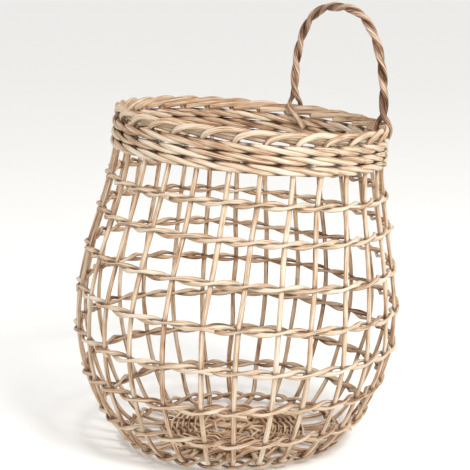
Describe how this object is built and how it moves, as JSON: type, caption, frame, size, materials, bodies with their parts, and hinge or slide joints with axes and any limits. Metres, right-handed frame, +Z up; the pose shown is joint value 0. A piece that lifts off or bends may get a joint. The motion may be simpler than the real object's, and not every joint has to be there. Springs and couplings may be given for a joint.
{
  "type": "egg collection basket",
  "caption": "Round woven cane basket with a flat base, open mesh sides, a rolled rim and a fixed twisted loop handle, for carrying eggs.",
  "frame": {"origin": "on the ground, under the middle of the basket's belly", "axes": "+Z up; +Y towards the side of the rim that carries the loop handle"},
  "size_m": [0.2621, 0.2624, 0.3488],
  "materials": {
    "stake_cane": "peeled cane, matt",
    "weaver_cane": "peeled cane, matt",
    "base_cane": "peeled cane, matt",
    "handle_cane": "peeled cane, satin"
  },
  "bodies": {
    "root": {"base_round_1": "base_cane", "base_round_2": "base_cane", "base_round_3": "base_cane", "base_round_4": "base_cane", "base_round_5": "base_cane", "base_round_6": "base_cane", "base_round_7": "base_cane", "base_stick_lower_1": "base_cane", "base_stick_lower_2": "base_cane", "base_stick_lower_3": "base_cane", "base_stick_lower_4": "base_cane", "base_stick_upper_1": "base_cane", "base_stick_upper_2": "base_cane", "base_stick_upper_3": "base_cane", "base_tie": "base_cane", "handle_cane_inner": "handle_cane", "handle_cane_outer": "handle_cane", "open_row_1": "weaver_cane", "open_row_2": "weaver_cane", "open_row_3": "weaver_cane", "open_row_4": "weaver_cane", "open_row_5": "weaver_cane", "open_row_6": "weaver_cane", "open_row_7": "weaver_cane", "open_row_8": "weaver_cane", "rim_wale_1": "weaver_cane", "rim_wale_2": "weaver_cane", "rim_wale_3": "weaver_cane", "stake_01": "stake_cane", "stake_02": "stake_cane", "stake_03": "stake_cane", "stake_04": "stake_cane", "stake_05": "stake_cane", "stake_06": "stake_cane", "stake_07": "stake_cane", "stake_08": "stake_cane", "stake_09": "stake_cane", "stake_10": "stake_cane", "stake_11": "stake_cane", "stake_12": "stake_cane", "stake_13": "stake_cane", "stake_14": "stake_cane", "stake_15": "stake_cane", "stake_16": "stake_cane", "stake_17": "stake_cane", "stake_18": "stake_cane", "stake_19": "stake_cane", "stake_20": "stake_cane", "stake_21": "stake_cane", "stake_22": "stake_cane", "stake_23": "stake_cane", "stake_24": "stake_cane", "stake_25": "stake_cane", "stake_26": "stake_cane", "stake_27": "stake_cane", "stake_28": "stake_cane"}
  },
  "joints": []
}
